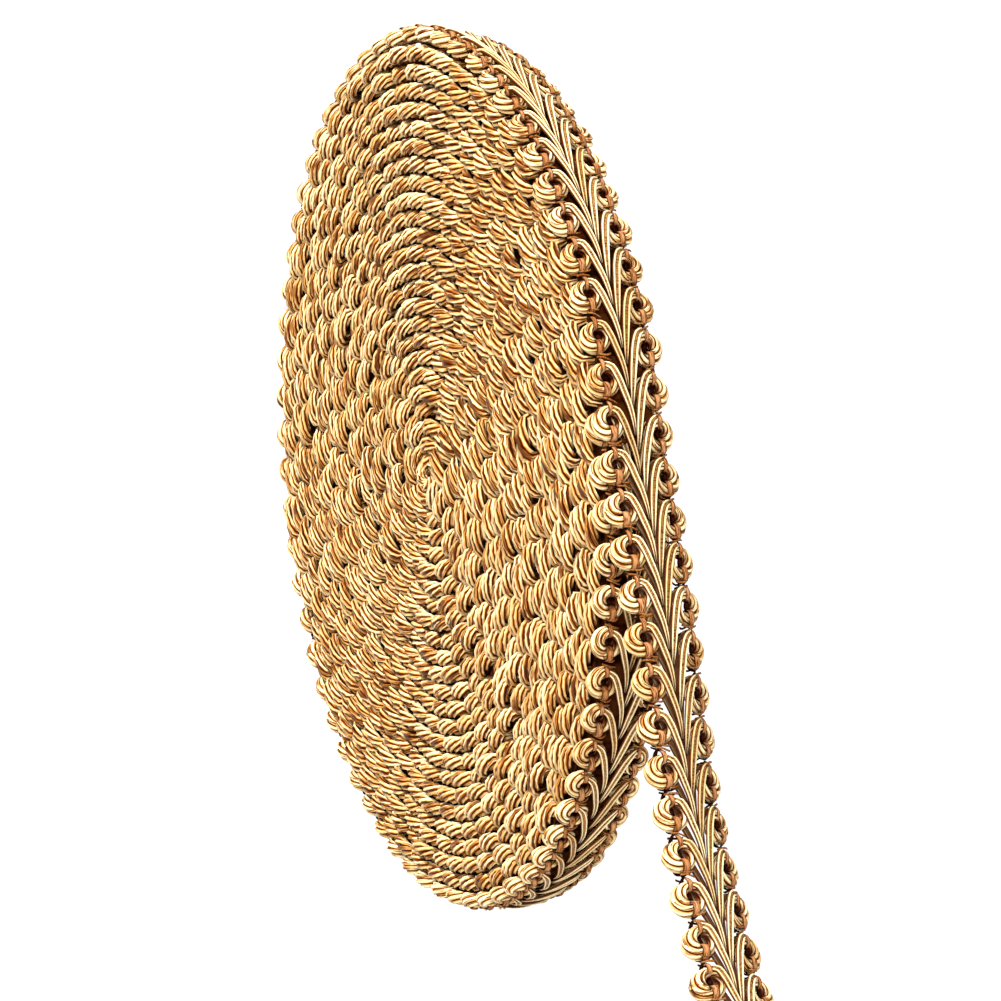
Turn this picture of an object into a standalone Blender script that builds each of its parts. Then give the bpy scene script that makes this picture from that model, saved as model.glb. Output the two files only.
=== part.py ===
"""Gimp braid trim: a flat wound roll of scroll braid standing on its rim, with one loose end.

Metres, +Z up. The roll's axis lies along Y, its loose end leaves on the +X side and
runs down to the surface. The origin is the middle of the flat spot the roll rests on.
"""
import math

import bmesh
import bpy
from mathutils import Matrix, Vector, geometry

COLLECTION = "gimp_braid_trim"

# Braid
BRAID_WIDTH = 0.0120
HALF_WIDTH = BRAID_WIDTH / 2
SCALLOP_PITCH = 0.0059
CROWN_Y = 0.0036
SHOULDER_Y = 0.0019
GAP_EDGE_Y = 0.0048

# Roll
TURNS = 24
TURN_PITCH = 0.0025
OUTER_MID_RADIUS = 0.0633
LEAVE_ANGLE = math.radians(15)
ROLL_CENTRE_Z = 0.0622
SEGMENTS_PER_TURN = 33
RIM_STEPS = 4
GROOVE_DEPTH = 0.0005
RIM_CROWN = 0.00105
RIM_CROWN_GAP = 0.00075
RIM_SHOULDER = 0.00070
RIM_MIDDLE = 0.00085
RIM_EDGE = 0.00050
RIM_EDGE_Y = 0.0056

# Loose end
END_GAP = 0.0003
HALF_THICKNESS = 0.0011
END_CROWN_GAP = 0.0007
END_SHOULDER = 0.0006
END_MIDDLE = 0.0009
STATIONS_PER_PITCH = 4
PEEL_POINT = (0.0663, 0.0668)
PEEL_LEAN = math.radians(25)
SAG_POINT = (0.0769, 0.0387)
SAG_LEAN = math.radians(20)
LOW_POINT = (0.0888, 0.0179)
LOW_LEAN = math.radians(33)
FLOOR_X = 0.1120
END_X = 0.1300
CURVE_STEPS = 60
MOST_TURN = math.radians(13)
TURN_START = 0.10
TURN_SHARE = 0.76


def clear_scene():
    for thing in list(bpy.data.objects):
        bpy.data.objects.remove(thing, do_unlink=True)


def make_material(name, colour, roughness):
    material = bpy.data.materials.new(name)
    material.use_nodes = True
    shader = material.node_tree.nodes["Principled BSDF"]
    shader.inputs["Base Color"].default_value = colour
    shader.inputs["Roughness"].default_value = roughness
    material.diffuse_color = colour
    return material


def finish_mesh(name, bm, material, collection):
    bmesh.ops.recalc_face_normals(bm, faces=bm.faces[:])
    mesh = bpy.data.meshes.new(name)
    bm.to_mesh(mesh)
    bm.free()
    mesh.materials.append(material)
    thing = bpy.data.objects.new(name, mesh)
    collection.objects.link(thing)
    return thing


# Wound roll

def mid_radius(turned):
    """Radius of the braid's middle after it has been wound inwards by this angle."""
    return OUTER_MID_RADIUS - TURN_PITCH * turned / math.tau


def roll_point(turned, across, raised):
    """A point of the roll: wound angle, place along the axis, height over the braid's middle."""
    angle = LEAVE_ANGLE + turned
    radius = mid_radius(turned) + raised
    return Vector((radius * math.cos(angle), across, ROLL_CENTRE_Z + radius * math.sin(angle)))


def roll_side(bm, side):
    """One side of the roll: a spiral ridge for every turn and a groove between the turns."""
    last = round(TURNS * SEGMENTS_PER_TURN)
    step = math.tau / SEGMENTS_PER_TURN
    ridge = []
    groove = {}
    for index in range(last + 1):
        turned = index * step
        ridge.append(bm.verts.new(roll_point(turned, side * HALF_WIDTH, 0)))
        if index >= SEGMENTS_PER_TURN:
            depth = side * (HALF_WIDTH - GROOVE_DEPTH)
            groove[index] = bm.verts.new(roll_point(turned, depth, TURN_PITCH / 2))
    for index in range(SEGMENTS_PER_TURN, last):
        outer = index - SEGMENTS_PER_TURN
        bm.faces.new((ridge[outer], ridge[outer + 1], groove[index + 1], groove[index]))
        bm.faces.new((groove[index], groove[index + 1], ridge[index + 1], ridge[index]))
    heart = bm.verts.new((0, side * (HALF_WIDTH - GROOVE_DEPTH), ROLL_CENTRE_Z))
    inner_loop = ridge[last - SEGMENTS_PER_TURN:] + [groove[last]]
    for first, second in zip(inner_loop, inner_loop[1:] + inner_loop[:1]):
        bm.faces.new((heart, first, second))
    return ridge, groove[SEGMENTS_PER_TURN]


def rim_row(step, side):
    """The rim's section on one side of the middle, from the edge inwards."""
    at_scallop = (step % 2 == 0) == (side < 0)
    turned = step * math.tau / (SEGMENTS_PER_TURN * RIM_STEPS)
    edge_y = RIM_EDGE_Y if at_scallop else GAP_EDGE_Y
    crown = RIM_CROWN if at_scallop else RIM_CROWN_GAP
    return [
        roll_point(turned, side * edge_y, RIM_EDGE),
        roll_point(turned, side * CROWN_Y, crown),
        roll_point(turned, side * SHOULDER_Y, RIM_SHOULDER),
    ]


def roll_rim(bm, ridges, last_edges):
    """The outer turn's face, scalloped along both edges, and the step where it leaves the roll."""
    count = SEGMENTS_PER_TURN * RIM_STEPS
    rows = []
    for step in range(count + 1):
        turned = step * math.tau / count
        near = [bm.verts.new(point) for point in rim_row(step, -1)]
        far = [bm.verts.new(point) for point in rim_row(step, 1)]
        if step == count:
            bm.verts.remove(near[0])
            bm.verts.remove(far[0])
            near[0] = last_edges[0]
            far[0] = last_edges[1]
        middle = bm.verts.new(roll_point(turned, 0, RIM_MIDDLE))
        rows.append(near + [middle] + far[::-1])
    for row, next_row in zip(rows, rows[1:]):
        for place in range(len(row) - 1):
            bm.faces.new((row[place], row[place + 1], next_row[place + 1], next_row[place]))
    for ridge, place in zip(ridges, (0, -1)):
        for segment in range(SEGMENTS_PER_TURN):
            edge = [rows[segment * RIM_STEPS + part][place] for part in range(RIM_STEPS + 1)]
            middle = RIM_STEPS // 2
            for part in range(RIM_STEPS):
                corner = ridge[segment] if part < middle else ridge[segment + 1]
                bm.faces.new((corner, edge[part], edge[part + 1]))
            bm.faces.new((ridge[segment], edge[middle], ridge[segment + 1]))
    bm.faces.new([ridges[0][0]] + rows[-1] + [ridges[1][0]] + rows[0][::-1])


def cut_flat_spot(roll, cutter_collection):
    """Cut the rim flat where the roll stands."""
    mesh = bpy.data.meshes.new("floor_cutter")
    bm = bmesh.new()
    size = 2 * BRAID_WIDTH
    bmesh.ops.create_cube(bm, size=1)
    bmesh.ops.scale(bm, vec=(2 * size, size, size), verts=bm.verts[:])
    bmesh.ops.translate(bm, vec=(0, 0, -size / 2), verts=bm.verts[:])
    bm.to_mesh(mesh)
    bm.free()
    cutter = bpy.data.objects.new("floor_cutter", mesh)
    cutter.hide_render = True
    cutter.display_type = "WIRE"
    cutter_collection.objects.link(cutter)
    cut = roll.modifiers.new("flat_spot", "BOOLEAN")
    cut.operation = "DIFFERENCE"
    cut.solver = "EXACT"
    cut.object = cutter


def make_roll(material, collection, cutter_collection):
    bm = bmesh.new()
    near_ridge, near_edge = roll_side(bm, -1)
    far_ridge, far_edge = roll_side(bm, 1)
    roll_rim(bm, (near_ridge, far_ridge), (near_edge, far_edge))
    roll = finish_mesh("wound_roll", bm, material, collection)
    cut_flat_spot(roll, cutter_collection)
    return roll


# Loose end

def leaning(angle):
    """Direction of travel of the falling end, leaning outwards from straight down."""
    return Vector((math.sin(angle), 0, -math.cos(angle)))


def loose_path():
    """The loose end's middle line: off the roll, down beside it and out along the surface."""
    start_direction = leaning(LEAVE_ANGLE)
    start = roll_point(0, 0, 0) + END_GAP * start_direction
    knots = [
        (start, start_direction),
        (Vector((PEEL_POINT[0], 0, PEEL_POINT[1])), leaning(PEEL_LEAN)),
        (Vector((SAG_POINT[0], 0, SAG_POINT[1])), leaning(SAG_LEAN)),
        (Vector((LOW_POINT[0], 0, LOW_POINT[1])), leaning(LOW_LEAN)),
        (Vector((FLOOR_X, 0, HALF_THICKNESS)), Vector((1, 0, 0))),
        (Vector((END_X, 0, HALF_THICKNESS)), Vector((1, 0, 0))),
    ]
    points = [start]
    for (place, heading), (next_place, next_heading) in zip(knots, knots[1:]):
        reach = (next_place - place).length * 0.36
        curve = geometry.interpolate_bezier(
            place, place + heading * reach, next_place - next_heading * reach, next_place, CURVE_STEPS)
        points += curve[1:]
    return points


def even_stations(points, spacing):
    """Points and directions at even spacing along a line of points."""
    lengths = [0.0]
    for point, next_point in zip(points, points[1:]):
        lengths.append(lengths[-1] + (next_point - point).length)
    count = round(lengths[-1] / spacing)
    stations = []
    segment = 0
    for number in range(count + 1):
        target = lengths[-1] * number / count
        while segment < len(points) - 2 and lengths[segment + 1] < target:
            segment += 1
        share = (target - lengths[segment]) / (lengths[segment + 1] - lengths[segment])
        heading = (points[segment + 1] - points[segment]).normalized()
        stations.append((points[segment].lerp(points[segment + 1], share), heading))
    return stations


def end_section(number):
    """The loose end's section at one station: pairs of place across and height."""
    phase = math.tau * number / STATIONS_PER_PITCH
    section = []
    for side, scallop in ((-1, (1 + math.cos(phase)) / 2), (1, (1 - math.cos(phase)) / 2)):
        edge_y = GAP_EDGE_Y + (HALF_WIDTH - GAP_EDGE_Y) * scallop
        crown = END_CROWN_GAP + (HALF_THICKNESS - END_CROWN_GAP) * scallop
        half = [
            (side * CROWN_Y, -HALF_THICKNESS),
            (side * edge_y, 0.0),
            (side * CROWN_Y, crown),
            (side * SHOULDER_Y, END_SHOULDER),
        ]
        section += half if side < 0 else [(0.0, END_MIDDLE)] + half[::-1]
    return section


def own_turn(share):
    """How far the falling end has turned about its own length; none at the roll and the surface."""
    along = min(max((share - TURN_START) / TURN_SHARE, 0), 1)
    return MOST_TURN * math.sin(math.pi * along) ** 2


def make_loose_end(material, collection):
    bm = bmesh.new()
    rings = []
    stations = even_stations(loose_path(), SCALLOP_PITCH / STATIONS_PER_PITCH)
    for number, (place, heading) in enumerate(stations):
        outward = Vector((-heading.z, 0, heading.x))
        frame = Matrix((heading, Vector((0, 1, 0)), outward)).transposed()
        frame = frame @ Matrix.Rotation(-own_turn(number / (len(stations) - 1)), 3, "X")
        ring = [bm.verts.new(place + frame @ Vector((0, across, height)))
                for across, height in end_section(number)]
        rings.append(ring)
    for ring, next_ring in zip(rings, rings[1:]):
        for place in range(len(ring)):
            after = (place + 1) % len(ring)
            bm.faces.new((ring[place], ring[after], next_ring[after], next_ring[place]))
    bm.faces.new(rings[0])
    bm.faces.new(rings[-1])
    return finish_mesh("loose_end", bm, material, collection)


def main():
    clear_scene()
    collection = bpy.data.collections.new(COLLECTION)
    cutters = bpy.data.collections.new("cutters")
    bpy.context.scene.collection.children.link(collection)
    bpy.context.scene.collection.children.link(cutters)
    roll_braid = make_material("roll_braid", (0.78, 0.50, 0.14, 1), 0.45)
    end_braid = make_material("end_braid", (0.84, 0.58, 0.19, 1), 0.45)
    make_roll(roll_braid, collection, cutters)
    make_loose_end(end_braid, collection)


main()
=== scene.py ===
"""Looks of the gimp braid trim: a wound roll of gold scroll braid with one loose end.

The braid is made flat, in its own lengths: along it, across it and its height. Each scroll,
cord and thread is made once, copied at every scallop, and then laid along the winding.
"""
import math

import bpy
import numpy as np
from mathutils import Matrix, Vector, geometry


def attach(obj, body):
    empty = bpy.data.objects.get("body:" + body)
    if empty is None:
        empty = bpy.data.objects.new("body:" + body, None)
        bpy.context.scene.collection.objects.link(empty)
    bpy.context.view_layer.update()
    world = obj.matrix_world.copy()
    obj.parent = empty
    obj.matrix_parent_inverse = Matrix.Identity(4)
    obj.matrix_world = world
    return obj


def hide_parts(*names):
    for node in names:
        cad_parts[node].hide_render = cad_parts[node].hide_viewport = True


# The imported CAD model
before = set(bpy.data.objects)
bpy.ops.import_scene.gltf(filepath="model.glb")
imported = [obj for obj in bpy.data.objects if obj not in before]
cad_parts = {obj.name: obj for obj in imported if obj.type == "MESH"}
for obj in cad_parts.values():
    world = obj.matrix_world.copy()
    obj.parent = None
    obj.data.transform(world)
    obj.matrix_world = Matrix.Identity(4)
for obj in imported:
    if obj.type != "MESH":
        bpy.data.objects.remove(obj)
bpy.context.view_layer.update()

MM = 0.001

# The winding, with the same sizes as the CAD solids
TURNS = 24
TURN_PITCH = 2.5 * MM
OUTER_MID_RADIUS = 63.3 * MM
LEAVE_ANGLE = math.radians(15)
ROLL_CENTRE_Z = 62.2 * MM
HALF_THICKNESS = 1.1 * MM

# The start of the braid, tucked into the middle of the roll, and the turn that shows on the rim
EXTRA_TURNS = 1.25
OUTER_TURN = 1.02

# Places and leans that the loose end passes through before it lies flat
PEEL_POINT = (66.3 * MM, 66.8 * MM)
PEEL_LEAN = math.radians(25)
SAG_POINT = (76.9 * MM, 38.7 * MM)
SAG_LEAN = math.radians(20)
LOW_POINT = (88.8 * MM, 17.9 * MM)
LOW_LEAN = math.radians(33)
FLOOR_X = 112.0 * MM
END_X = 130.0 * MM
CURVE_STEPS = 60
CURVE_REACH = 0.36

# The outer turns stand out of round near the top, most on the near side
LIFT_ANGLE = math.radians(92)
LIFT_SPREAD = math.radians(30)
LIFT_TURNS = 5
LIFT = 0.45 * MM
LIFT_SLOPE = -0.25

# The loose end's turn about its own length: most, start and stretch as shares of its length
MOST_TURN = math.radians(13)
TURN_START = 0.10
TURN_SHARE = 0.76

# The braid, with its two rows of scallops, staggered by shares of their pitch
PITCH = 5.9 * MM
NEAR_SHIFT = -0.48
FAR_SHIFT = -0.11
ROW_Y = 3.5 * MM

# Its arch across its width on the roll and where it is loose, and how it changes in between
ARCH_ROLL = 0.020 / MM
ARCH_LOOSE = 0.045 / MM
FREEING_LENGTH = 3 * PITCH
FREEING_START = 0.3

# One scroll: its round outline, and the half width of its bundle, widest outwards and ahead
SCROLL_OUTLINE = 2.24 * MM
SCROLL_STRETCH = 1.06
SCROLL_SHIFT = (0.22 * MM, 0.10 * MM)
BUNDLE_WIDTH = (0.84 * MM, 0.22 * MM, 0.12 * MM)
BUNDLE_HEIGHT = 1.12 * MM
BUNDLE_LEAST_HEIGHT = 0.75
STRANDS = 6
STRAND_GROOVE = 0.32
STRANDS_TWISTED = 5
SCROLL_SEGMENTS = 30
SCROLL_STRAND_POINTS = 3

# The part of a scroll that shows on the sides of the roll
EDGE_STRANDS = 6
EDGE_STRAND_POINTS = 2
EDGE_SEGMENTS = 10
EDGE_TWISTS = (1.1, 1.3, 1.5, 1.25)
EDGE_START_STEP = 0.9
EDGE_FLATNESS = 0.52
EDGE_ARC = math.radians(120)
EDGE_RADIUS_ALONG = 2.55 * MM
EDGE_RADIUS_ACROSS = 1.62 * MM
EDGE_HALF_WIDTH = 0.90 * MM
EDGE_HALF_HEIGHT = 1.27 * MM
EDGE_LEAST_WIDTH = 0.25
EDGE_LEAST_HEIGHT = 0.35
EDGE_BLUNTNESS = 0.45
SIDE_LOOSENESS = 2.5
SIDE_DRIFT = 0.25 * MM

# The core inside the outer turn: a dark sheet of painted shade in place of the shaded inner braid
CORE_POINTS = 160
CORE_DEPTH = 1.35 * MM
CORE_HALF_WIDTH = 3.4 * MM

# Extra scrolls in the tuck where the braid starts, in pitches from its start
TUCK_PLACES = np.array([0.4, 0.9, 1.4])

# Paths of the cords from a scroll's own middle: along, across towards the middle, height
NEAR_CORD_PATH = [(-1.85, 0.1, 0.70), (-1.45, 0.80, 1.04), (-0.1, 1.50, 1.08), (2.0, 2.20, 0.88),
                  (4.0, 2.80, 0.66), (5.9, 3.15, 0.42), (7.7, 3.35, 0.05)]
NEAR_CORD_HALF_WIDTH = 0.49 * MM
FAR_CORD_PATH = [(-2.35, 0.3, 0.65), (-1.9, 1.15, 1.0), (-0.4, 1.95, 1.05), (1.9, 2.55, 0.90),
                 (4.2, 2.98, 0.68), (6.1, 3.24, 0.44), (7.9, 3.42, 0.05)]
FAR_CORD_HALF_WIDTH = 0.61 * MM
CORD_HALF_HEIGHT = 0.40 * MM
CORD_RINGS = 20
CORD_LEAST_HEIGHT = 0.4
THREAD_PATH = [(-3.0, 0.1, -0.1), (-2.55, 0.1, 0.65), (-1.9, 0.05, 1.12), (-1.2, 0.0, 1.0),
               (-0.75, 0.0, 0.4), (-0.4, 0.0, -0.2), (0.3, 0.0, -0.2), (0.6, 0.0, 0.55),
               (1.0, 0.0, 1.16), (1.9, 0.0, 1.25), (2.5, 0.05, 0.8), (2.9, 0.1, -0.1)]
THREAD_HALF_WIDTH = 0.50 * MM
THREAD_HALF_HEIGHT = 0.14 * MM
THREAD_RINGS = 22
TIE_PATHS = [
    [(2.25, -0.55, 0.6), (2.6, 0.1, 1.0), (2.6, 0.75, 0.9), (2.35, 1.25, 0.5)],
    [(3.0, -0.6, 0.6), (3.15, 0.15, 0.95), (3.35, 0.7, 0.8), (3.5, 1.3, 0.5)],
]
TIE_HALF_WIDTH = 0.15 * MM
TIE_RINGS = 6
CORD_LOOSENESS = 0.6
TIE_LOOSENESS = 2.0

# A cord's openness, from hidden to open, which sets its painted shade: heights in millimetres, then by the
# place round the cord
HIDDEN_HEIGHT = 0.1
OPENING_RISE = 0.75
SIDE_OPENNESS = 0.75
OPENNESS_SLOPE = 0.9

# Where the pieces of the loose end begin and stop, from where it leaves the roll and from its cut end
JOIN_LENGTH = 0.5 * PITCH
SCROLL_END_SPARE = 0.45 * PITCH
CORD_END_SPARE = 1.2 * PITCH

# Unevenness of the copies, and the length over which a row drifts
SIZE_JITTER = 0.03
LEAN_JITTER = 0.06
ACROSS_JITTER = 0.08 * MM
ALONG_JITTER = 0.05 * MM
DRIFT_LENGTH = 0.05

rng = np.random.default_rng(11)


# Where the braid lies

def loose_table():
    """Lengths, places and headings along the loose end's middle line."""
    def leaning(angle):
        """A heading that leans out by an angle from straight down."""
        return Vector((math.sin(angle), 0, -math.cos(angle)))

    start = Vector((OUTER_MID_RADIUS * math.cos(LEAVE_ANGLE), 0,
                    ROLL_CENTRE_Z + OUTER_MID_RADIUS * math.sin(LEAVE_ANGLE)))
    knots = [
        (start, leaning(LEAVE_ANGLE)),
        (Vector((PEEL_POINT[0], 0, PEEL_POINT[1])), leaning(PEEL_LEAN)),
        (Vector((SAG_POINT[0], 0, SAG_POINT[1])), leaning(SAG_LEAN)),
        (Vector((LOW_POINT[0], 0, LOW_POINT[1])), leaning(LOW_LEAN)),
        (Vector((FLOOR_X, 0, HALF_THICKNESS)), Vector((1, 0, 0))),
        (Vector((END_X, 0, HALF_THICKNESS)), Vector((1, 0, 0))),
    ]
    points = [start]
    for (place, heading), (next_place, next_heading) in zip(knots, knots[1:]):
        reach = (next_place - place).length * CURVE_REACH
        curve = geometry.interpolate_bezier(
            place, place + heading * reach, next_place - next_heading * reach, next_place, CURVE_STEPS)
        points += curve[1:]
    points = np.array([(p.x, p.z) for p in points])
    steps = np.diff(points, axis=0)
    lengths = np.concatenate([[0], np.cumsum(np.hypot(*steps.T))])
    headings = np.gradient(points, lengths, axis=0)
    headings /= np.linalg.norm(headings, axis=1)[:, None]
    return lengths, points, headings


LOOSE = loose_table()
LOOSE_LENGTH = float(LOOSE[0][-1])


def wound_angle(length):
    """Angle wound inwards at a length back from where the braid leaves the roll."""
    radius = np.sqrt(OUTER_MID_RADIUS ** 2 - TURN_PITCH * length / math.pi)
    return (OUTER_MID_RADIUS - radius) * math.tau / TURN_PITCH


def wound_length(angle):
    """Length of braid wound in an angle, from where the braid leaves the roll."""
    return OUTER_MID_RADIUS * angle - TURN_PITCH * angle ** 2 / (2 * math.tau)


ROLL_LENGTH = wound_length((TURNS + EXTRA_TURNS) * math.tau)
OUTER_TURN_LENGTH = wound_length(OUTER_TURN * math.tau)


def on_roll(along, across, height):
    """Places on the winding, as x and z."""
    turned = wound_angle(np.clip(-along, 0, ROLL_LENGTH))
    angle = LEAVE_ANGLE + turned
    from_top = (angle - LIFT_ANGLE + math.pi) % math.tau - math.pi
    lifted = np.exp(-(from_top / LIFT_SPREAD) ** 2 - turned / math.tau / LIFT_TURNS)
    radius = OUTER_MID_RADIUS - TURN_PITCH * turned / math.tau
    radius = radius + lifted * (LIFT + LIFT_SLOPE * across)
    return (radius + height) * np.cos(angle), ROLL_CENTRE_Z + (radius + height) * np.sin(angle)


def on_loose_end(along, height):
    """Places on the loose end, and straight on from both its ends, as x and z."""
    lengths, places, headings = LOOSE
    ahead = np.clip(along, 0, LOOSE_LENGTH)
    past = along - ahead
    heading_x = np.interp(ahead, lengths, headings[:, 0])
    heading_z = np.interp(ahead, lengths, headings[:, 1])
    return (np.interp(ahead, lengths, places[:, 0]) - height * heading_z + past * heading_x,
            np.interp(ahead, lengths, places[:, 1]) + height * heading_x + past * heading_z)


def laid(flat):
    """Points of the flat braid (along, across, height) laid along the winding and the loose end."""
    along, across, height = flat[..., 0], flat[..., 1], flat[..., 2]
    free = np.clip(along / FREEING_LENGTH + FREEING_START, 0, 1)
    height = height - (ARCH_ROLL + (ARCH_LOOSE - ARCH_ROLL) * free) * (across ** 2 - ROW_Y ** 2)
    share = np.clip((along / LOOSE_LENGTH - TURN_START) / TURN_SHARE, 0, 1)
    turn = MOST_TURN * np.sin(math.pi * share) ** 2
    turned_height = height * np.cos(turn) - across * np.sin(turn)
    across = across * np.cos(turn) + height * np.sin(turn)
    height = turned_height
    x, z = np.where(along > 0, on_loose_end(along, height), on_roll(along, across, height))
    return np.stack([x, across, np.maximum(z, 0.0)], -1)


# Shapes made once, flat

def tube_faces(rings, around, closed, shift=0):
    """Quads of a tube of rings and their corners' UV, which runs along the tube and round it.

    A closed tube joins up shifted by its twist. An open one gets strips of quads at its ends.
    """
    ring, place = np.meshgrid(np.arange(rings if closed else rings - 1), np.arange(around), indexing="ij")
    after, next_ring = (place + 1) % around, (ring + 1) % rings
    skip = np.where(ring + 1 == rings, shift, 0)
    faces = np.stack([ring * around + place, ring * around + after,
                      next_ring * around + (after + skip) % around,
                      next_ring * around + (place + skip) % around], -1).reshape(-1, 4)
    corners = np.stack([(ring, place), (ring, place + 1), (ring + 1, place + 1), (ring + 1, place)])
    corners = corners.transpose(2, 3, 0, 1).reshape(-1, 4, 2) / (rings, around)
    if closed:
        return faces, corners
    strip = np.arange(around // 2 - 1)
    cap = np.stack([strip, strip + 1, around - 2 - strip, around - 1 - strip], -1)
    faces = np.concatenate([faces, cap[:, ::-1], cap + (rings - 1) * around])
    return faces, np.concatenate([corners, np.zeros((len(faces) - len(corners), 4, 2))])


def from_least(least, share):
    """A share that falls no lower than the least one."""
    return least + (1 - least) * share


def strand_profile(strands, per_strand):
    """Angles round a bundle of strands, each point's stand-off, and its crest: 1 on top of a strand."""
    place = np.arange(strands * per_strand)
    offset = (place % per_strand) / per_strand * 2 - 1
    crest = np.sqrt(np.clip(1 - offset ** 2, 0, 1))
    return place / (strands * per_strand) * math.tau, 1 - STRAND_GROOVE * (1 - crest), crest


def scroll_shape():
    """One whole scroll of twisted strands.

    A shape is its points (along, outwards, height), faces, their corners' UV, crest and openness.
    """
    section, stand, crest = strand_profile(STRANDS, SCROLL_STRAND_POINTS)
    spin = np.arange(SCROLL_SEGMENTS) / SCROLL_SEGMENTS * math.tau
    spin_grid, section_grid = np.meshgrid(spin, section, indexing="ij")
    turn = section_grid + STRANDS_TWISTED / STRANDS * spin_grid
    middle, outwards, ahead = BUNDLE_WIDTH
    half_width = middle + outwards * np.cos(spin_grid) + ahead * np.sin(spin_grid)
    half_height = BUNDLE_HEIGHT * from_least(BUNDLE_LEAST_HEIGHT, half_width / half_width.max())
    radius = SCROLL_OUTLINE - half_width + half_width * stand * np.cos(turn)
    points = np.stack([SCROLL_SHIFT[0] + SCROLL_STRETCH * radius * np.sin(spin_grid),
                       SCROLL_SHIFT[1] + radius * np.cos(spin_grid),
                       half_height * stand * np.sin(turn)], -1).reshape(-1, 3)
    # Openness falls to none on the bundle's inner side, towards the scroll's hole, where the material
    # paints shade
    openness = (0.5 + 0.5 * np.cos(turn)).ravel()
    faces, uv = tube_faces(SCROLL_SEGMENTS, len(section), True, STRANDS_TWISTED * SCROLL_STRAND_POINTS)
    return points, faces, uv, np.tile(crest, SCROLL_SEGMENTS), openness


def edge_shape(twist, start):
    """The outer part of a scroll, for the sides of the roll."""
    section, stand, crest = strand_profile(EDGE_STRANDS, EDGE_STRAND_POINTS)
    spin = np.linspace(-EDGE_ARC, EDGE_ARC, EDGE_SEGMENTS)
    spin_grid, section_grid = np.meshgrid(spin, section, indexing="ij")
    turn = section_grid + start + twist * spin_grid
    ends = np.cos(spin_grid / EDGE_ARC * math.pi / 2) ** EDGE_BLUNTNESS
    half_width = EDGE_HALF_WIDTH * from_least(EDGE_LEAST_WIDTH, ends)
    half_height = EDGE_HALF_HEIGHT * from_least(EDGE_LEAST_HEIGHT, ends)
    offset = half_width * stand * np.cos(turn)
    flat_cos = np.sign(np.cos(spin_grid)) * np.abs(np.cos(spin_grid)) ** EDGE_FLATNESS
    points = np.stack([(EDGE_RADIUS_ALONG + offset) * np.sin(spin_grid),
                       (EDGE_RADIUS_ACROSS + offset) * flat_cos,
                       half_height * stand * np.sin(turn)], -1).reshape(-1, 3)
    # Openness falls to none on the bundle's inner side, where the material paints shade
    openness = (0.5 + 0.5 * np.cos(turn)).ravel()
    faces, uv = tube_faces(EDGE_SEGMENTS, len(section), False)
    return points, faces, uv, np.tile(crest, EDGE_SEGMENTS), openness


def smooth_path(knots, count):
    """Even points on a smooth curve through a few places: millimetres in, metres out."""
    knots = np.array(knots) * MM
    chord = np.concatenate([[0], np.cumsum(np.linalg.norm(np.diff(knots, axis=0), axis=1))])
    slope = np.gradient(knots, chord, axis=0)
    where = np.linspace(0, chord[-1], count)
    segment = np.clip(np.searchsorted(chord, where, side="right") - 1, 0, len(knots) - 2)
    span = (chord[segment + 1] - chord[segment])[:, None]
    share = (where - chord[segment])[:, None] / span
    a, b = knots[segment], knots[segment + 1]
    da, db = slope[segment] * span, slope[segment + 1] * span
    return ((2 * share ** 3 - 3 * share ** 2 + 1) * a + (share ** 3 - 2 * share ** 2 + share) * da
            + (3 * share ** 2 - 2 * share ** 3) * b + (share ** 3 - share ** 2) * db)


def headings_of(path):
    """Level headings along a path."""
    heading = np.gradient(path, axis=0)
    heading[:, 2] = 0.0
    return heading / np.linalg.norm(heading, axis=1)[:, None]


def cord_shape(knots, count, profile, half_width, half_height, taper):
    """A flat cord along a path.

    The profile gives each point round the cord as its share of the width and of the height.
    """
    path = smooth_path(knots, count)
    heading = headings_of(path)
    side = np.stack([-heading[:, 1], heading[:, 0], np.zeros(count)], -1)
    profile = np.array(profile)
    share = np.linspace(0, 1, count)
    size = np.interp(share, taper[0], taper[1])[:, None]
    across = profile[None, :, 0] * size * half_width
    height = profile[None, :, 1] * from_least(CORD_LEAST_HEIGHT, size) * half_height
    points = path[:, None, :] + side[:, None, :] * across[..., None]
    points[..., 2] += height
    points = points.reshape(-1, 3)
    # Openness falls where the cord lies low or faces down, where the material paints shade
    raised = np.clip((points[:, 2] / MM - HIDDEN_HEIGHT) / OPENING_RISE, 0, 1)
    openness = raised * np.tile(np.clip(SIDE_OPENNESS + OPENNESS_SLOPE * profile[:, 1], 0, 1), count)
    crest = np.tile(np.abs(profile[:, 0]), count)
    faces, uv = tube_faces(count, len(profile), False)
    return points, faces, uv, crest, openness


# Points round a cord: share of its half width and of its half height
CORD_PROFILE = [(1.0, 0.0), (0.92, 0.60), (0.68, 1.0), (0.44, 0.80), (0.32, 0.30), (0.0, 0.45),
                (-0.32, 0.30), (-0.44, 0.80), (-0.68, 1.0), (-0.92, 0.60), (-1.0, 0.0), (-0.6, -0.8),
                (0.6, -0.8), (0.9, -0.4)]
FLAT_PROFILE = [(1.0, 0.0), (0.75, 0.8), (0.0, 1.0), (-0.75, 0.8), (-1.0, 0.0), (-0.6, -0.9),
                (0.0, -1.0), (0.6, -0.9)]
ROUND_PROFILE = [(1.0, 0.0), (0.5, 0.87), (-0.5, 0.87), (-1.0, 0.0), (-0.5, -0.87), (0.5, -0.87)]

# Share of the full width at shares of the length
CORD_TAPER = ([0, 0.08, 0.2, 0.5, 0.75, 0.9, 1], [0.7, 0.95, 1.0, 0.92, 0.70, 0.48, 0.30])
THREAD_TAPER = ([0, 0.1, 0.25, 0.45, 0.6, 0.9, 1], [0.4, 0.6, 0.72, 0.6, 1.0, 1.0, 0.5])
NO_TAPER = ([0, 1], [1, 1])


# Copies along the braid

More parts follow.
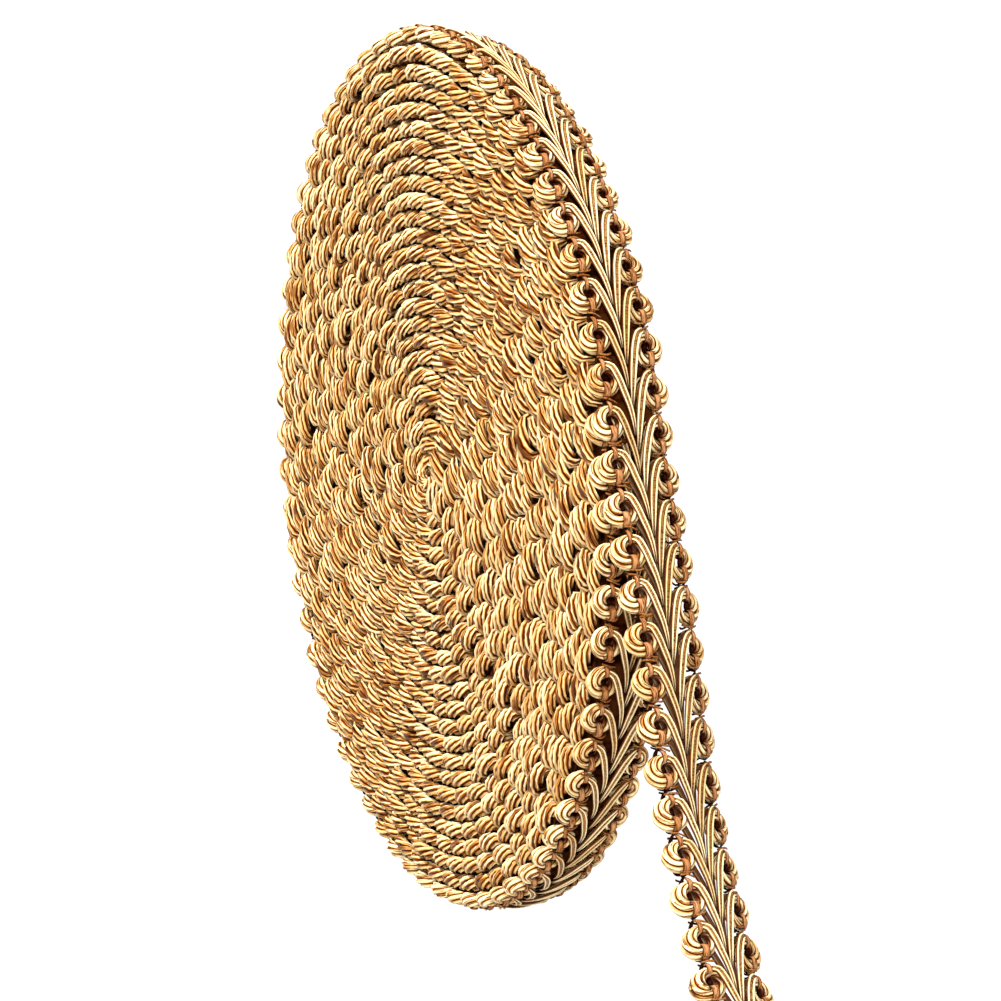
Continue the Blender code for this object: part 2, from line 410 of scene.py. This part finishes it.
def jitter(count, amount):
    """Random steps either way, with the far ones cut off."""
    return rng.normal(0, 1, count).clip(-2, 2) * amount


def wander(places, length, amount):
    """A slow random drift along the braid."""
    knots = np.arange(places.min() - length, places.max() + 2 * length, length)
    return np.interp(places, knots, jitter(len(knots), amount))


def copies(shape, places, side, flip=False, loose=1.0, drift=0.0):
    """Copies of a shape at each place along one row.

    They are points, faces, corners' UV, crest, openness and tone, which is one value for each copy.
    """
    points, faces, uv, crest, openness = shape
    count = len(places)
    size = (1 + jitter(count, SIZE_JITTER * loose))[:, None]
    lean = jitter(count, LEAN_JITTER * loose)[:, None]
    along, out, height = points.T
    stray = jitter(count, ACROSS_JITTER * loose)[:, None]
    across_middle = ROW_Y + stray + wander(places, DRIFT_LENGTH, drift)[:, None]
    along_middle = (places + jitter(count, ALONG_JITTER * loose))[:, None]
    along_copy = along_middle + size * (along[None] + lean * out[None])
    across_copy = side * (across_middle + size * out[None])
    height_copy = np.broadcast_to(height[None], along_copy.shape) * (-1 if flip else 1)
    flat = np.stack([along_copy, across_copy, height_copy], -1)
    base = np.arange(count)[:, None, None] * len(points)
    every_face, every_uv = (faces[None] + base).reshape(-1, 4), np.tile(uv, (count, 1, 1))
    if (side > 0) != flip:
        every_face, every_uv = every_face[:, ::-1], every_uv[:, ::-1]
    return (flat.reshape(-1, 3), every_face, every_uv, np.tile(crest, count),
            np.tile(openness, count), np.repeat(rng.random(count), len(points)))


def together(parts):
    """Several sets of copies as one."""
    offset, faces = 0, []
    for part in parts:
        faces.append(part[1] + offset)
        offset += len(part[0])
    flat, _, uv, crest, openness, tone = (np.concatenate(values) for values in zip(*parts))
    return flat, np.concatenate(faces), uv, crest, openness, tone


def braid_piece(name, parts, material):
    """One piece of the braid, laid along the winding."""
    flat, faces, uv, crest, openness, tone = together(parts)
    points = laid(flat)
    mesh = bpy.data.meshes.new(name)
    mesh.vertices.add(len(points))
    mesh.vertices.foreach_set("co", points.astype(np.float32).ravel())
    mesh.loops.add(faces.size)
    mesh.loops.foreach_set("vertex_index", faces.astype(np.int32).ravel())
    mesh.polygons.add(len(faces))
    mesh.polygons.foreach_set("loop_start", np.arange(0, faces.size, 4, dtype=np.int32))
    mesh.polygons.foreach_set("loop_total", np.full(len(faces), 4, dtype=np.int32))
    mesh.polygons.foreach_set("use_smooth", np.ones(len(faces), dtype=bool))
    mesh.update(calc_edges=True)
    layer = mesh.uv_layers.new(name="lay")
    layer.data.foreach_set("uv", uv.astype(np.float32).ravel())
    for key, values in (("crest", crest), ("openness", openness), ("tone", tone)):
        attribute = mesh.attributes.new(key, "FLOAT", "POINT")
        attribute.data.foreach_set("value", values.astype(np.float32))
    mesh.materials.append(material)
    piece = bpy.data.objects.new(name, mesh)
    bpy.context.scene.collection.objects.link(piece)
    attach(piece, "root")
    return piece


# Materials

# Places of a Mix node's sockets for colours, whose names its other sockets have too
MIX_SHARE = 0
MIX_FIRST = 6
MIX_SECOND = 7
MIX_RESULT = 2

# The fine lines and the sheen
TONE_SPACING = 60.0
LINE_DETAIL = 3.0
FIBRE_STRENGTH = 0.8
FIBRE_RELIEF = 0.00012
SHEEN = 0.09
SHEEN_TINT = (1.0, 0.72, 0.38, 1)

# Colours at shares of a value: a copy's tone, the fine lines, and how strongly the lines show
TONE_STOPS = ((0.0, (0.80, 0.68, 0.52)), (0.6, (1.0, 1.0, 1.0)))
LINE_STOPS = ((0.37, (0.10, 0.025, 0.003)), (0.44, (0.60, 0.35, 0.15)), (0.50, (1.0, 1.0, 1.0)))
ALL_LINES = ((0.0, (0.95, 0.95, 0.95)), (1.0, (0.95, 0.95, 0.95)))
MIDDLE_LINES = ((0.30, (0.90, 0.90, 0.90)), (0.44, (0.15, 0.15, 0.15)))

# Colours from groove to crest, with painted shade in the grooves and painted highlights on the crests, and
# painted shade from hollow to open
# The silk: gold, with painted shade near black in the grooves and a pale cream painted highlight on the
# crests
SILK_STOPS = ((0.0, (0.026, 0.003, 0.0005)), (0.13, (0.055, 0.009, 0.001)), (0.28, (0.42, 0.145, 0.018)),
              (0.50, (0.86, 0.575, 0.225)), (1.0, (1.0, 0.90, 0.62)))
# Painted shade on the silk's hollow side, towards a scroll's hole
SILK_PAINTED_SHADE = ((0.05, (0.14, 0.035, 0.012)), (0.36, (1.0, 1.0, 1.0)))
# The cords: tan in the middle, painted shade in the creases beside it and at the sides, painted highlights
# on the raised edges
GIMP_STOPS = ((0.0, (0.46, 0.23, 0.065)), (0.24, (0.36, 0.16, 0.04)), (0.32, (0.06, 0.016, 0.004)),
              (0.48, (0.96, 0.80, 0.47)), (0.76, (1.0, 0.87, 0.57)), (0.90, (0.24, 0.08, 0.016)),
              (1.0, (0.04, 0.010, 0.002)))
GIMP_PAINTED_SHADE = ((0.0, (0.10, 0.03, 0.010)), (0.7, (1.0, 1.0, 1.0)))
# The ties: warm brown, with painted shade darkening towards their sides
TIE_STOPS = ((0.0, (0.50, 0.24, 0.08)), (0.6, (0.34, 0.14, 0.04)), (1.0, (0.10, 0.03, 0.008)))
TIE_PAINTED_SHADE = ((0.2, (0.10, 0.03, 0.015)), (0.9, (1.0, 1.0, 1.0)))
# The binding thread: orange brown, with painted shade dark at its sides
THREAD_STOPS = ((0.0, (0.58, 0.30, 0.14)), (0.6, (0.45, 0.21, 0.085)), (0.85, (0.14, 0.04, 0.01)),
                (1.0, (0.05, 0.013, 0.004)))
THREAD_PAINTED_SHADE = ((0.3, (0.06, 0.016, 0.006)), (0.9, (1.0, 1.0, 1.0)))
# The core: dark brown all over, painted shade for the inner braid seen in the gaps
CORE_STOPS = ((0.0, (0.10, 0.028, 0.008)), (1.0, (0.12, 0.034, 0.009)))
CORE_HOLLOW = ((0.0, (1, 1, 1)), (1.0, (1, 1, 1)))

# For each use: name, colours, shading, lines along and around, how they show, roughness
FINISHES = {
    "core": ("shaded_inner_braid", CORE_STOPS, CORE_HOLLOW, 60.0, 60.0, ALL_LINES, 0.9),
    "scroll": ("gold_silk_scrolls", SILK_STOPS, SILK_PAINTED_SHADE, 5.0, 23.0, ALL_LINES, 0.32),
    "side": ("gold_silk_side_strands", SILK_STOPS, SILK_PAINTED_SHADE, 3.0, 17.0, ALL_LINES, 0.32),
    "cord": ("wrapped_gimp_cord", GIMP_STOPS, GIMP_PAINTED_SHADE, 64.0, 3.0, MIDDLE_LINES, 0.32),
    "tie": ("fine_tie_strands", TIE_STOPS, TIE_PAINTED_SHADE, 12.0, 10.0, ALL_LINES, 0.34),
    "thread": ("orange_binding_thread", THREAD_STOPS, THREAD_PAINTED_SHADE, 9.0, 22.0, ALL_LINES, 0.5),
}


def new_material(name):
    """A node material, its tree and its shader."""
    material = bpy.data.materials.new(name)
    material.use_nodes = True
    tree = material.node_tree
    return material, tree, tree.nodes["Principled BSDF"]


def ramp_node(tree, stops):
    """A colour ramp of places and colours."""
    ramp = tree.nodes.new("ShaderNodeValToRGB")
    elements = ramp.color_ramp.elements
    while len(elements) < len(stops):
        elements.new(0.5)
    for element, (where, colour) in zip(elements, stops):
        element.position = where
        element.color = (*colour, 1)
    return ramp


def value_from(tree, name):
    """One of the braid's own values: crest, openness or tone."""
    node = tree.nodes.new("ShaderNodeAttribute")
    node.attribute_name = name
    return node.outputs["Fac"]


def strand_lines(tree, along, around, tone):
    """Fine lines that run along the strands, different on each scroll, cord and thread."""
    uv = tree.nodes.new("ShaderNodeUVMap")
    uv.uv_map = "lay"
    stretch = tree.nodes.new("ShaderNodeMapping")
    stretch.inputs["Scale"].default_value = (along, around, 1)
    apart = tree.nodes.new("ShaderNodeMath")
    apart.operation = "MULTIPLY"
    apart.inputs[1].default_value = TONE_SPACING
    offset = tree.nodes.new("ShaderNodeCombineXYZ")
    tree.links.new(tone, apart.inputs[0])
    tree.links.new(apart.outputs["Value"], offset.inputs["Z"])
    tree.links.new(offset.outputs["Vector"], stretch.inputs["Location"])
    lines = tree.nodes.new("ShaderNodeTexNoise")
    lines.inputs["Scale"].default_value = 1.0
    lines.inputs["Detail"].default_value = LINE_DETAIL
    tree.links.new(uv.outputs["UV"], stretch.inputs["Vector"])
    tree.links.new(stretch.outputs["Vector"], lines.inputs["Vector"])
    return lines.outputs["Fac"]


def multiplied(tree, share, first, second):
    """The first colour times the second, by a share that is a number or a socket."""
    node = tree.nodes.new("ShaderNodeMix")
    node.data_type = "RGBA"
    node.blend_type = "MULTIPLY"
    if isinstance(share, bpy.types.NodeSocket):
        tree.links.new(share, node.inputs[MIX_SHARE])
    else:
        node.inputs[MIX_SHARE].default_value = share
    tree.links.new(first, node.inputs[MIX_FIRST])
    tree.links.new(second, node.inputs[MIX_SECOND])
    return node.outputs[MIX_RESULT]


def bumped(tree, height, strength):
    """Normals that raise a pattern by the fibres' relief."""
    bump = tree.nodes.new("ShaderNodeBump")
    bump.inputs["Strength"].default_value = strength
    bump.inputs["Distance"].default_value = FIBRE_RELIEF
    tree.links.new(height, bump.inputs["Height"])
    return bump.outputs["Normal"]


def silk_material(name, stops, painted_shade_stops, along, around, share_stops, roughness):
    """Silky strands: painted shade in the grooves and on their hollow sides, painted highlights on the
    crests, with fine lines along them.
    """
    material, tree, shader = new_material(name)
    crest, tone = value_from(tree, "crest"), value_from(tree, "tone")
    lines = strand_lines(tree, along, around, tone)
    # Painted shade in the grooves and painted highlights on the crests, by the crest value
    shade_and_highlight_colour = ramp_node(tree, stops)
    tree.links.new(crest, shade_and_highlight_colour.inputs["Fac"])
    tone_colour = ramp_node(tree, TONE_STOPS)
    tree.links.new(tone, tone_colour.inputs["Fac"])
    line_colour = ramp_node(tree, LINE_STOPS)
    tree.links.new(lines, line_colour.inputs["Fac"])
    # Painted shade where the strands are hollow, low or face down
    painted_shade_colour = ramp_node(tree, painted_shade_stops)
    tree.links.new(value_from(tree, "openness"), painted_shade_colour.inputs["Fac"])
    toned = multiplied(tree, 1.0, shade_and_highlight_colour.outputs["Color"], tone_colour.outputs["Color"])
    shaded = multiplied(tree, 1.0, toned, painted_shade_colour.outputs["Color"])
    line_share = ramp_node(tree, share_stops)
    tree.links.new(crest, line_share.inputs["Fac"])
    final = multiplied(tree, line_share.outputs["Color"], shaded, line_colour.outputs["Color"])
    tree.links.new(final, shader.inputs["Base Color"])
    crest_share = share_stops[-1][1][0]
    tree.links.new(bumped(tree, lines, FIBRE_STRENGTH * crest_share), shader.inputs["Normal"])
    shader.inputs["Roughness"].default_value = roughness
    shader.inputs["Specular IOR Level"].default_value = SHEEN
    shader.inputs["Specular Tint"].default_value = SHEEN_TINT
    return material


def make_materials():
    """The materials by their use."""
    return {use: silk_material(*finish) for use, finish in FINISHES.items()}


# The pieces

def row_places(first, last, side):
    """Places of the scrolls of one row between two lengths; the rows are staggered."""
    shift = NEAR_SHIFT if side < 0 else FAR_SHIFT
    numbers = np.arange(math.ceil(first / PITCH - shift), math.ceil(last / PITCH - shift))
    return (numbers + shift) * PITCH


def make_scrolls(materials):
    """Whole scrolls on the loose end and the outer turn, and their outer parts on the roll's sides."""
    full = scroll_shape()
    edges = [edge_shape(twist, k * EDGE_START_STEP) for k, twist in enumerate(EDGE_TWISTS)]
    loose_scrolls = braid_piece("loose_end_scrolls", [
        copies(full, row_places(JOIN_LENGTH, LOOSE_LENGTH - SCROLL_END_SPARE, side), side)
        for side in (-1, 1)], materials["scroll"])
    braid_piece("outer_turn_scrolls", [
        copies(full, row_places(-OUTER_TURN_LENGTH, JOIN_LENGTH, side), side)
        for side in (-1, 1)], materials["scroll"])
    halfway = -(OUTER_TURN_LENGTH + ROLL_LENGTH) / 2
    spans = {"outer": (halfway, -OUTER_TURN_LENGTH), "inner": (-ROLL_LENGTH, halfway)}
    for side, side_name in ((-1, "near"), (1, "far")):
        for part, (first, last) in spans.items():
            places = row_places(first, last, side)
            if part == "inner":
                places = np.concatenate([places, TUCK_PLACES * PITCH - ROLL_LENGTH])
            kinds = rng.integers(0, len(edges), len(places))
            braid_piece(f"{side_name}_side_scrolls_{part}", [
                copies(edge, places[kinds == k], side, loose=SIDE_LOOSENESS, drift=SIDE_DRIFT)
                for k, edge in enumerate(edges)], materials["side"])
    return loose_scrolls


def inwards(path):
    """A path given towards the middle of the braid, in the shapes' outwards sense."""
    return [(along, -across, height) for along, across, height in path]


def make_cords(materials):
    """The middle cords, small ties and binding threads of the loose end and of the outer turn.

    The loose end has them on both of its faces.
    """
    near_cord = cord_shape(inwards(NEAR_CORD_PATH), CORD_RINGS, CORD_PROFILE, NEAR_CORD_HALF_WIDTH,
                           CORD_HALF_HEIGHT, CORD_TAPER)
    far_cord = cord_shape(inwards(FAR_CORD_PATH), CORD_RINGS, CORD_PROFILE, FAR_CORD_HALF_WIDTH,
                          CORD_HALF_HEIGHT, CORD_TAPER)
    binding = cord_shape(THREAD_PATH, THREAD_RINGS, FLAT_PROFILE, THREAD_HALF_WIDTH,
                         THREAD_HALF_HEIGHT, THREAD_TAPER)
    ties = [cord_shape(inwards(path), TIE_RINGS, ROUND_PROFILE, TIE_HALF_WIDTH, TIE_HALF_WIDTH, NO_TAPER)
            for path in TIE_PATHS]
    made = {}
    spans = {"loose_end": (JOIN_LENGTH, LOOSE_LENGTH - CORD_END_SPARE, "end_braid"),
             "outer_turn": (-OUTER_TURN_LENGTH, JOIN_LENGTH, "roll_braid")}
    for name, (first, last, slot) in spans.items():
        near, far = row_places(first, last, -1), row_places(first, last, 1)
        rows = ((near, -1), (far, 1))
        faces_shown = (False, True) if name == "loose_end" else (False,)
        cords = [copies(cord, places, side, flip, CORD_LOOSENESS)
                 for cord, (places, side) in zip((near_cord, far_cord), rows) for flip in faces_shown]
        small = [copies(shape, places, side, flip, TIE_LOOSENESS)
                 for shape in ties for places, side in rows for flip in faces_shown]
        threads = [copies(binding, places, side, flip, CORD_LOOSENESS)
                   for places, side in rows for flip in faces_shown]
        made[name] = [
            braid_piece(f"{name}_gimp_cords", cords, materials["cord"]),
            braid_piece(f"{name}_small_ties", small, materials["tie"]),
            braid_piece(f"{name}_binding_threads", threads, materials["thread"]),
        ]
    return made["loose_end"]


def make_core(material):
    """The middle of the winding, seen only in the gaps between scrolls: a dark sheet of painted shade in
    place of the shaded inner braid.
    """
    turned = np.arange(CORE_POINTS) / CORE_POINTS * math.tau
    level = np.zeros(CORE_POINTS)
    outline = laid(np.stack([-wound_length(turned), level, level - CORE_DEPTH], -1))
    bpy.ops.object.select_all(action="DESELECT")
    bpy.ops.mesh.primitive_circle_add(vertices=CORE_POINTS, radius=1, fill_type="NGON", location=(0, 0, 0),
                                      rotation=(math.radians(90), 0, 0))
    piece = bpy.context.object
    bpy.ops.object.transform_apply(location=True, rotation=True, scale=True)
    piece.name = "winding_core"
    for vertex, (x, _, z) in zip(piece.data.vertices, outline):
        vertex.co = (x, -CORE_HALF_WIDTH, z)
    bpy.ops.object.mode_set(mode="EDIT")
    bpy.ops.mesh.select_all(action="SELECT")
    bpy.ops.mesh.extrude_region_move(TRANSFORM_OT_translate={"value": (0, 2 * CORE_HALF_WIDTH, 0)})
    bpy.ops.mesh.select_all(action="SELECT")
    bpy.ops.mesh.normals_make_consistent(inside=False)
    bpy.ops.object.mode_set(mode="OBJECT")
    piece.data.uv_layers[0].name = "lay"
    piece.data.materials.append(material)
    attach(piece, "root")
    return piece


# The photograph's view

CAMERA_AZIMUTH = math.radians(67.3)
CAMERA_ELEVATION = math.radians(12.0)
CAMERA_DISTANCE = 0.7568
CAMERA_FOCAL_PIXELS = 5221.6
IMAGE_PIXELS = 1001
CENTRE_PIXEL = (462.2, 475.4)
SENSOR_MM = 36
CLIP_START = 0.01


def make_camera():
    """The photograph's view, placed by the pixel in which the roll's middle is seen."""
    back = Vector((math.sin(CAMERA_AZIMUTH) * math.cos(CAMERA_ELEVATION),
                   -math.cos(CAMERA_AZIMUTH) * math.cos(CAMERA_ELEVATION), math.sin(CAMERA_ELEVATION)))
    right = Vector((0, 0, 1)).cross(back).normalized()
    up = back.cross(right)
    scale = CAMERA_DISTANCE / CAMERA_FOCAL_PIXELS
    centre = Vector((0, 0, ROLL_CENTRE_Z))
    target = (centre + right * (IMAGE_PIXELS / 2 - CENTRE_PIXEL[0]) * scale
              - up * (IMAGE_PIXELS / 2 - CENTRE_PIXEL[1]) * scale)
    data = bpy.data.cameras.new("photo_view")
    data.sensor_width = SENSOR_MM
    data.lens = CAMERA_FOCAL_PIXELS / IMAGE_PIXELS * SENSOR_MM
    data.clip_start = CLIP_START
    camera = bpy.data.objects.new("photo_view", data)
    bpy.context.scene.collection.objects.link(camera)
    turn = Matrix((right, up, back)).transposed()
    camera.matrix_world = Matrix.Translation(target + back * CAMERA_DISTANCE) @ turn.to_4x4()
    bpy.context.scene.camera = camera


# The studio

# For each light: name, place, aim, size, power in watts, colour
LIGHTS = [
    ("key", (0.05, -0.75, 1.10), (0, 0, 0.06), 0.14, 28, (1.0, 0.97, 0.91)),
    ("front", (1.0, -0.45, 0.65), (0.02, 0, 0.06), 0.18, 11, (1.0, 0.98, 0.93)),
    ("side", (0.55, 0.75, 0.65), (0.02, 0, 0.06), 0.30, 5, (1.0, 0.98, 0.95)),
]
FLOOR_SIZE = 12
FLOOR_GRAIN = 3.0
FLOOR_TINTS = ((0.0, (0.60, 0.60, 0.60)), (1.0, (0.64, 0.64, 0.64)))
FLOOR_ROUGHNESS = 0.8
FLOOR_GLOW = 1.3
FLOOR_GLOW_SHARE = 0.82
FILL_COLOUR = (1.0, 0.93, 0.82, 1)
FILL_STRENGTH = 0.10


def make_light(name, place, aim, size, power, colour):
    """An area light that faces its aim."""
    data = bpy.data.lights.new(name, "AREA")
    data.size = size
    data.energy = power
    data.color = colour
    light = bpy.data.objects.new(name, data)
    bpy.context.scene.collection.objects.link(light)
    light.location = place
    light.rotation_euler = (Vector(aim) - Vector(place)).to_track_quat("-Z", "Y").to_euler()


def floor_material():
    """A pale floor that glows to near white where the camera sees it."""
    material, tree, shader = new_material("pale_floor")
    grain = tree.nodes.new("ShaderNodeTexNoise")
    grain.inputs["Scale"].default_value = FLOOR_GRAIN
    tint = ramp_node(tree, FLOOR_TINTS)
    tree.links.new(grain.outputs["Fac"], tint.inputs["Fac"])
    tree.links.new(tint.outputs["Color"], shader.inputs["Base Color"])
    shader.inputs["Roughness"].default_value = FLOOR_ROUGHNESS
    glow = tree.nodes.new("ShaderNodeEmission")
    glow.inputs["Strength"].default_value = FLOOR_GLOW
    seen = tree.nodes.new("ShaderNodeLightPath")
    part = tree.nodes.new("ShaderNodeMath")
    part.operation = "MULTIPLY"
    part.inputs[1].default_value = FLOOR_GLOW_SHARE
    blend = tree.nodes.new("ShaderNodeMixShader")
    tree.links.new(seen.outputs["Is Camera Ray"], part.inputs[0])
    tree.links.new(part.outputs["Value"], blend.inputs["Fac"])
    tree.links.new(shader.outputs["BSDF"], blend.inputs[1])
    tree.links.new(glow.outputs["Emission"], blend.inputs[2])
    tree.links.new(blend.outputs["Shader"], tree.nodes["Material Output"].inputs["Surface"])
    return material


def studio_world():
    """A warm, faint fill on the braid, with white behind it."""
    world = bpy.data.worlds.new("studio")
    world.use_nodes = True
    nodes, links = world.node_tree.nodes, world.node_tree.links
    fill = nodes["Background"]
    fill.inputs["Color"].default_value = FILL_COLOUR
    fill.inputs["Strength"].default_value = FILL_STRENGTH
    backdrop = nodes.new("ShaderNodeBackground")
    backdrop.inputs["Color"].default_value = (1, 1, 1, 1)
    backdrop.inputs["Strength"].default_value = 1.0
    seen = nodes.new("ShaderNodeLightPath")
    choose = nodes.new("ShaderNodeMixShader")
    links.new(seen.outputs["Is Camera Ray"], choose.inputs["Fac"])
    links.new(fill.outputs["Background"], choose.inputs[1])
    links.new(backdrop.outputs["Background"], choose.inputs[2])
    links.new(choose.outputs["Shader"], nodes["World Output"].inputs["Surface"])
    return world


def make_studio():
    """The floor, the surroundings and the lights."""
    bpy.ops.mesh.primitive_plane_add(size=FLOOR_SIZE, location=(0, 0, 0))
    floor = bpy.context.object
    floor.name = "studio_floor"
    floor.data.materials.append(floor_material())
    bpy.context.scene.world = studio_world()
    bpy.context.scene.view_settings.view_transform = "Standard"
    for light in LIGHTS:
        make_light(*light)


# The whole scene

make_camera()
materials = make_materials()
loose_scrolls = make_scrolls(materials)
loose_cords = make_cords(materials)
core = make_core(materials["core"])
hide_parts("loose_end")
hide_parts("wound_roll")
make_studio()
